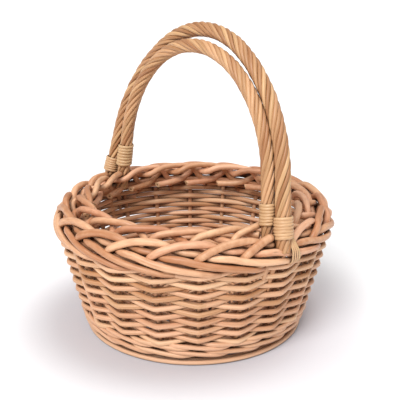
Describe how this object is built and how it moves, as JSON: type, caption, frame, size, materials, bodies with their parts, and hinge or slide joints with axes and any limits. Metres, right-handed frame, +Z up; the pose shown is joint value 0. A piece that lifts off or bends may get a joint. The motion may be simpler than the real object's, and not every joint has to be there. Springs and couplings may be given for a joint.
{
  "type": "woven market basket",
  "caption": "Round willow basket with a tapered woven wall, a wide plaited border and a fixed double arched handle bound at its legs.",
  "frame": {"origin": "on the ground under the middle of the basket", "axes": "+Z up, +X along the span of the handle, towards one handle leg"},
  "size_m": [0.303, 0.3, 0.3177],
  "materials": {
    "weaver_willow": "satin",
    "stick_willow": "satin",
    "border_willow": "satin",
    "handle_willow": "satin",
    "skein": "satin"
  },
  "bodies": {
    "root": {"base_stick_1": "stick_willow", "base_stick_2": "stick_willow", "base_stick_3": "stick_willow", "base_stick_4": "stick_willow", "base_stick_5": "stick_willow", "base_weave": "weaver_willow", "binding_inner_left": "skein", "binding_inner_right": "skein", "binding_outer_left": "skein", "binding_outer_right": "skein", "border_butts": "border_willow", "border_inner": "border_willow", "border_middle": "border_willow", "border_outer": "border_willow", "bottom_wale": "weaver_willow", "foot_rod": "weaver_willow", "handle_bow_inner": "stick_willow", "handle_bow_outer": "stick_willow", "handle_rope_inner": "handle_willow", "handle_rope_outer": "handle_willow", "lashing_left": "skein", "lashing_right": "skein", "side_weave_1": "weaver_willow", "side_weave_2": "weaver_willow", "side_weave_3": "weaver_willow", "side_weave_4": "weaver_willow", "side_weave_5": "weaver_willow", "side_weave_6": "weaver_willow", "stake_01": "stick_willow", "stake_02": "stick_willow", "stake_03": "stick_willow", "stake_04": "stick_willow", "stake_05": "stick_willow", "stake_06": "stick_willow", "stake_07": "stick_willow", "stake_08": "stick_willow", "stake_09": "stick_willow", "stake_10": "stick_willow", "stake_11": "stick_willow", "stake_12": "stick_willow", "stake_13": "stick_willow", "stake_14": "stick_willow", "stake_15": "stick_willow", "stake_16": "stick_willow", "stake_17": "stick_willow", "stake_18": "stick_willow", "stake_19": "stick_willow", "stake_20": "stick_willow"}
  },
  "joints": []
}
